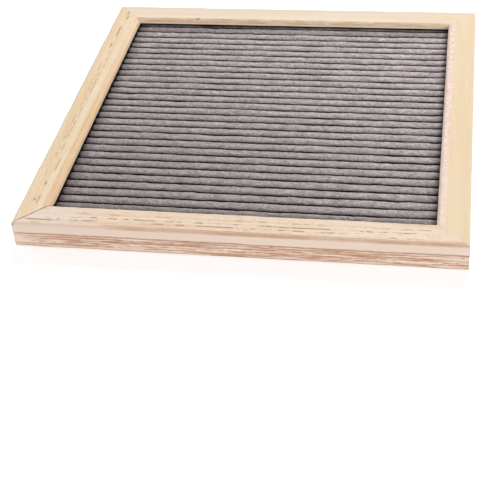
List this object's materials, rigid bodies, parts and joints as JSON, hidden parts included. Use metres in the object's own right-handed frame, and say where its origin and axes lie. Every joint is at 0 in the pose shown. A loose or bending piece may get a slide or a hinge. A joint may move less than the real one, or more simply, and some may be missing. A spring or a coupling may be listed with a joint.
{
  "type": "felt letter board",
  "caption": "Square pale softwood letter board: a mitred frame round a ridged grey felt panel whose long grooves take the tabs of push-in letters.",
  "frame": {"origin": "centre of the board's back face, in the plane of the rails' backs", "axes": "+X to the right along the grooves, +Y up the board, +Z out of the felt"},
  "size_m": [0.254, 0.254, 0.0165],
  "materials": {
    "pine": "clear matt, fine straight grain",
    "grey_felt": "short dense nap",
    "core_plastic": "plain extruded",
    "hardboard": "plain brown fibreboard",
    "zinc_plated_steel": "zinc plated"
  },
  "bodies": {
    "root": {"top_rail": "pine", "bottom_rail": "pine", "left_rail": "pine", "right_rail": "pine", "felt_sheet": "grey_felt", "slotted_core": "core_plastic", "backing_board": "hardboard", "top_left_v_nail_1": "zinc_plated_steel", "top_left_v_nail_2": "zinc_plated_steel", "top_right_v_nail_1": "zinc_plated_steel", "top_right_v_nail_2": "zinc_plated_steel", "bottom_left_v_nail_1": "zinc_plated_steel", "bottom_left_v_nail_2": "zinc_plated_steel", "bottom_right_v_nail_1": "zinc_plated_steel", "bottom_right_v_nail_2": "zinc_plated_steel", "top_framers_point_1": "zinc_plated_steel", "top_framers_point_2": "zinc_plated_steel", "bottom_framers_point_1": "zinc_plated_steel", "bottom_framers_point_2": "zinc_plated_steel", "left_framers_point_1": "zinc_plated_steel", "left_framers_point_2": "zinc_plated_steel", "right_framers_point_1": "zinc_plated_steel", "right_framers_point_2": "zinc_plated_steel", "sawtooth_hanger": "zinc_plated_steel", "hanger_rivet_left": "zinc_plated_steel", "hanger_rivet_right": "zinc_plated_steel"}
  },
  "joints": []
}
